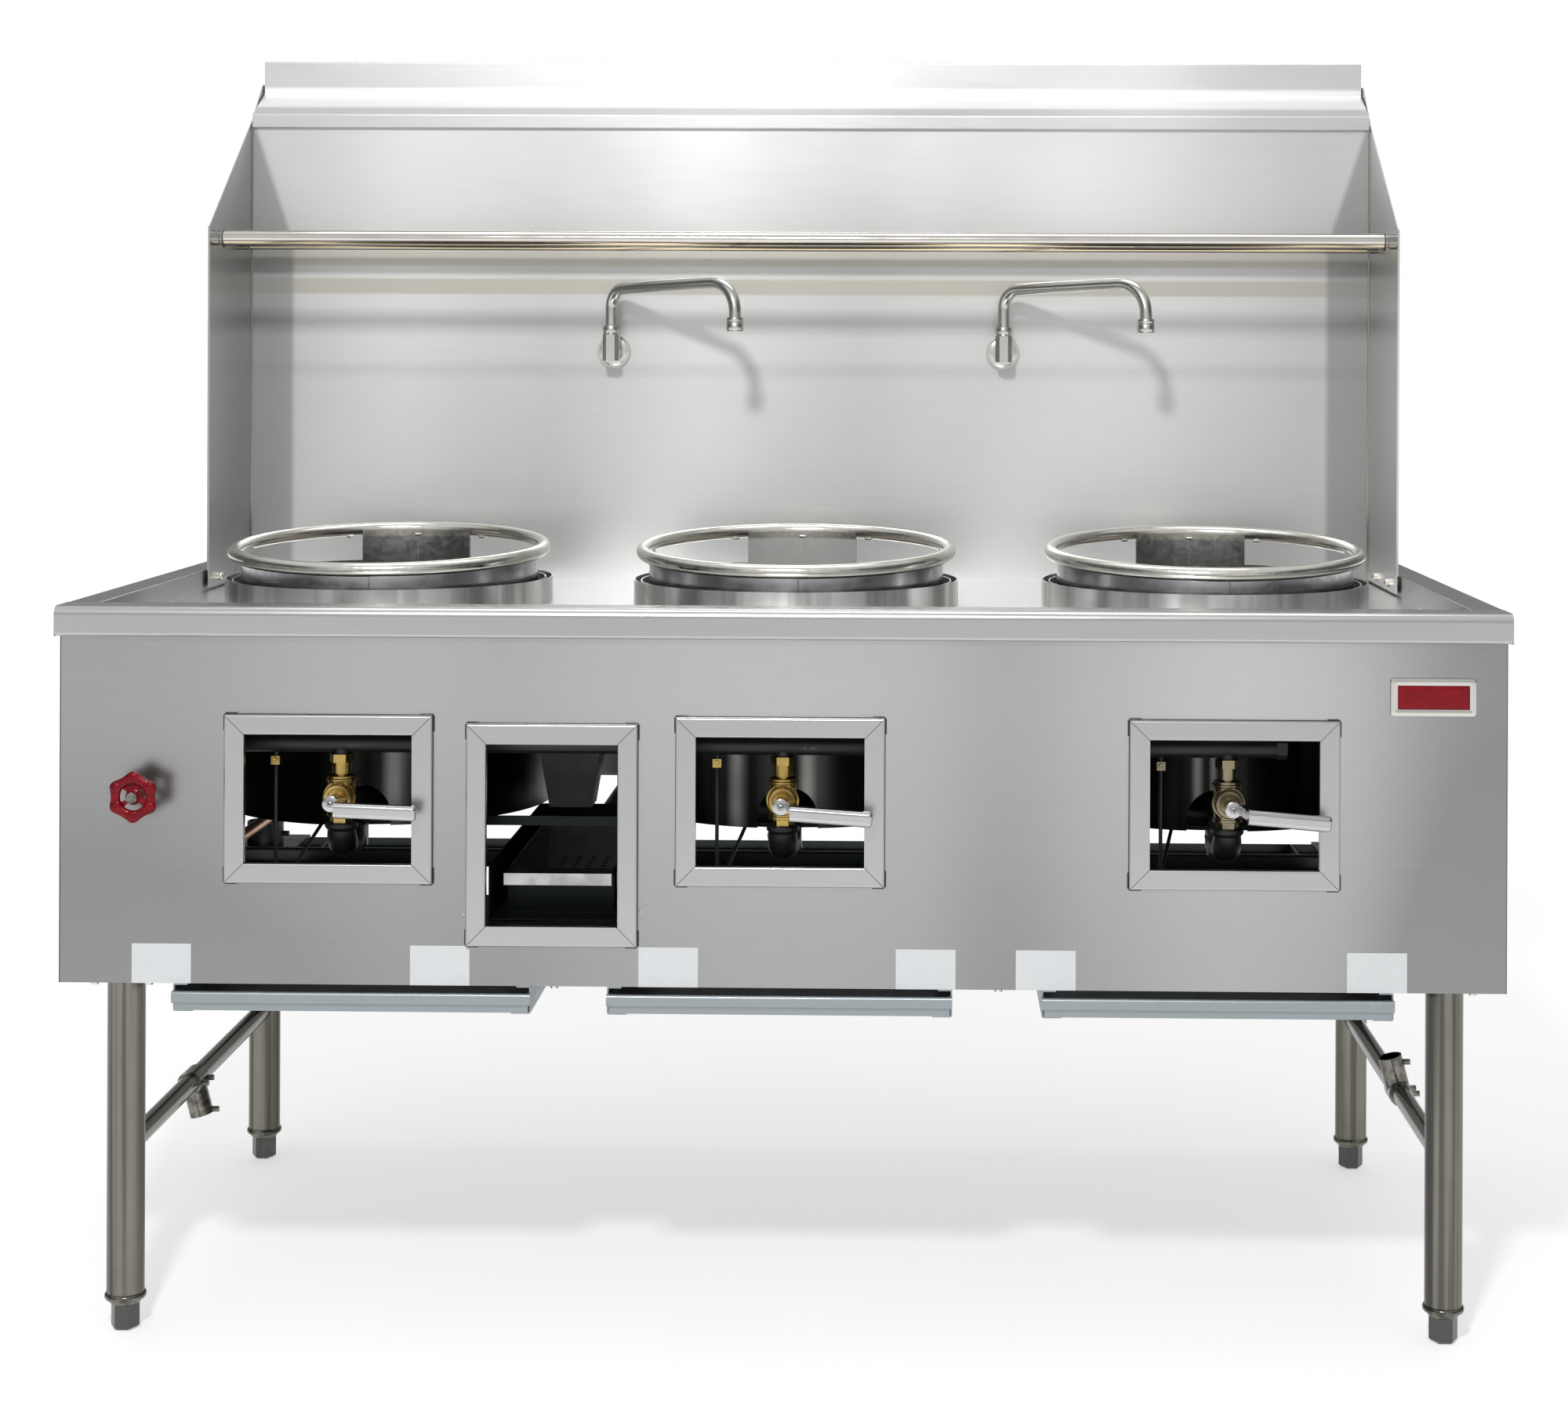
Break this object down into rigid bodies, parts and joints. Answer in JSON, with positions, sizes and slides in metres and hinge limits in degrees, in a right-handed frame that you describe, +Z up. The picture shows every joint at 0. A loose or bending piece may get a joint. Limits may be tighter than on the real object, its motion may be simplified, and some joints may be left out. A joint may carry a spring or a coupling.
{
  "type": "wok range",
  "caption": "Stainless steel gas wok range on tube legs, with lift-off wok rings, splash back with pot rack and swing spouts, lever valves, scrap drawer and drip trays.",
  "frame": {"origin": "on the floor under the middle of the range, halfway between the front of the handwheel and the ends of the service pipes", "axes": "+X to the right as seen from the front, +Y to the back, +Z up"},
  "size_m": [1.829, 0.964, 1.721],
  "materials": {
    "brushed_steel": "brushed stainless sheet",
    "polished_steel": "polished stainless tube",
    "leg_steel": "satin stainless tube",
    "galvanised_steel": "galvanised sheet and angle",
    "ring_steel": "welded stainless, slightly dulled",
    "lining_stone": "cast refractory",
    "cast_iron": "cast iron, matt",
    "black_pipe": "black pipe and fittings",
    "brass": "brass, slightly tarnished",
    "grip_aluminium": "cast aluminium, satin",
    "chrome": "bright chrome",
    "wheel_red": "glossy red",
    "copper_pipe": "copper tube",
    "trim_steel": "brushed trim",
    "badge_finish": "bright rim round a blank painted face",
    "label_film": "blank printed film"
  },
  "bodies": {
    "range_body": {"front_panel": "brushed_steel", "left_side_panel": "brushed_steel", "right_side_panel": "brushed_steel", "rear_panel": "galvanised_steel", "base_frame": "galvanised_steel", "leg_sockets": "galvanised_steel", "deck_pan": "brushed_steel", "front_rail": "brushed_steel", "side_lips": "brushed_steel", "back_panel": "brushed_steel", "left_wing": "brushed_steel", "right_wing": "brushed_steel", "flue_cap": "brushed_steel", "flue_box": "galvanised_steel", "pot_rack": "polished_steel", "body_bolts": "polished_steel", "chamber_left": "brushed_steel", "chamber_middle": "brushed_steel", "chamber_right": "brushed_steel", "chamber_linings": "lining_stone", "burners": "cast_iron", "burner_pipes": "black_pipe", "gas_manifold": "black_pipe", "gas_valves": "brass", "gas_unions": "brass", "pilot_valves": "brass", "pilot_tubes": "black_pipe", "water_valve": "brass", "water_pipes": "copper_pipe", "faucet_bases": "chrome", "window_trims": "trim_steel", "badge": "badge_finish", "blank_labels": "label_film", "tray_runners": "galvanised_steel", "scrap_hopper": "galvanised_steel", "scrap_housing": "galvanised_steel", "legs": "leg_steel", "side_rails": "leg_steel", "rail_clamps": "leg_steel"},
    "lever_left": {"gas_lever_left": "grip_aluminium"},
    "key_left": {"pilot_key_left": "brass"},
    "ring_left": {"wok_ring_left": "ring_steel"},
    "tray_left": {"drip_tray_left": "brushed_steel"},
    "lever_middle": {"gas_lever_middle": "grip_aluminium"},
    "key_middle": {"pilot_key_middle": "brass"},
    "ring_middle": {"wok_ring_middle": "ring_steel"},
    "tray_middle": {"drip_tray_middle": "brushed_steel"},
    "lever_right": {"gas_lever_right": "grip_aluminium"},
    "key_right": {"pilot_key_right": "brass"},
    "ring_right": {"wok_ring_right": "ring_steel"},
    "tray_right": {"drip_tray_right": "brushed_steel"},
    "wheel": {"handwheel": "wheel_red", "handwheel_stem": "brass"},
    "swing_spout_left": {"spout_left": "chrome"},
    "swing_spout_right": {"spout_right": "chrome"},
    "drawer": {"scrap_drawer": "brushed_steel"},
    "levelling_front_left": {"foot_front_left": "cast_iron"},
    "levelling_front_right": {"foot_front_right": "cast_iron"},
    "levelling_rear_left": {"foot_rear_left": "cast_iron"},
    "levelling_rear_right": {"foot_rear_right": "cast_iron"}
  },
  "joints": [
    {"name": "left_gas_lever_turn", "type": "hinge", "parent": "range_body", "child": "lever_left", "pos_m": [-0.569, -0.422, 0.691], "axis": [0, 1, 0], "range_deg": [0, 85]},
    {"name": "middle_gas_lever_turn", "type": "hinge", "parent": "range_body", "child": "lever_middle", "pos_m": [0, -0.422, 0.691], "axis": [0, 1, 0], "range_deg": [0, 85]},
    {"name": "right_gas_lever_turn", "type": "hinge", "parent": "range_body", "child": "lever_right", "pos_m": [0.569, -0.422, 0.691], "axis": [0, 1, 0], "range_deg": [0, 85]},
    {"name": "left_pilot_key_turn", "type": "hinge", "parent": "range_body", "child": "key_left", "pos_m": [-0.654, -0.367, 0.736], "axis": [0, 1, 0], "range_deg": [0, 90]},
    {"name": "middle_pilot_key_turn", "type": "hinge", "parent": "range_body", "child": "key_middle", "pos_m": [-0.085, -0.367, 0.736], "axis": [0, 1, 0], "range_deg": [0, 90]},
    {"name": "right_pilot_key_turn", "type": "hinge", "parent": "range_body", "child": "key_right", "pos_m": [0.484, -0.367, 0.736], "axis": [0, 1, 0], "range_deg": [0, 90]},
    {"name": "water_handwheel_turn", "type": "hinge", "parent": "range_body", "child": "wheel", "pos_m": [-0.805, -0.467, 0.706], "axis": [0, 1, 0], "range_deg": [0, 1440]},
    {"name": "left_spout_swing", "type": "hinge", "parent": "range_body", "child": "swing_spout_left", "pos_m": [-0.302, 0.308, 1.29], "axis": [0, 0, 1], "range_deg": [-136, 38]},
    {"name": "right_spout_swing", "type": "hinge", "parent": "range_body", "child": "swing_spout_right", "pos_m": [0.302, 0.308, 1.29], "axis": [0, 0, 1], "range_deg": [-136, 38]},
    {"name": "left_wok_ring_lift", "type": "slide", "parent": "range_body", "child": "ring_left", "axis": [0, 0, 1], "range_m": [0, 0.25]},
    {"name": "middle_wok_ring_lift", "type": "slide", "parent": "range_body", "child": "ring_middle", "axis": [0, 0, 1], "range_m": [0, 0.25]},
    {"name": "right_wok_ring_lift", "type": "slide", "parent": "range_body", "child": "ring_right", "axis": [0, 0, 1], "range_m": [0, 0.25]},
    {"name": "left_drip_tray_pull", "type": "slide", "parent": "range_body", "child": "tray_left", "axis": [0, -1, 0], "range_m": [0, 0.45]},
    {"name": "middle_drip_tray_pull", "type": "slide", "parent": "range_body", "child": "tray_middle", "axis": [0, -1, 0], "range_m": [0, 0.45]},
    {"name": "right_drip_tray_pull", "type": "slide", "parent": "range_body", "child": "tray_right", "axis": [0, -1, 0], "range_m": [0, 0.45]},
    {"name": "scrap_drawer_pull", "type": "slide", "parent": "range_body", "child": "drawer", "axis": [0, -1, 0], "range_m": [0, 0.33]},
    {"name": "front_left_foot_adjust", "type": "slide", "parent": "range_body", "child": "levelling_front_left", "axis": [0, 0, -1], "range_m": [0, 0.02]},
    {"name": "front_right_foot_adjust", "type": "slide", "parent": "range_body", "child": "levelling_front_right", "axis": [0, 0, -1], "range_m": [0, 0.02]},
    {"name": "rear_left_foot_adjust", "type": "slide", "parent": "range_body", "child": "levelling_rear_left", "axis": [0, 0, -1], "range_m": [0, 0.02]},
    {"name": "rear_right_foot_adjust", "type": "slide", "parent": "range_body", "child": "levelling_rear_right", "axis": [0, 0, -1], "range_m": [0, 0.02]}
  ]
}
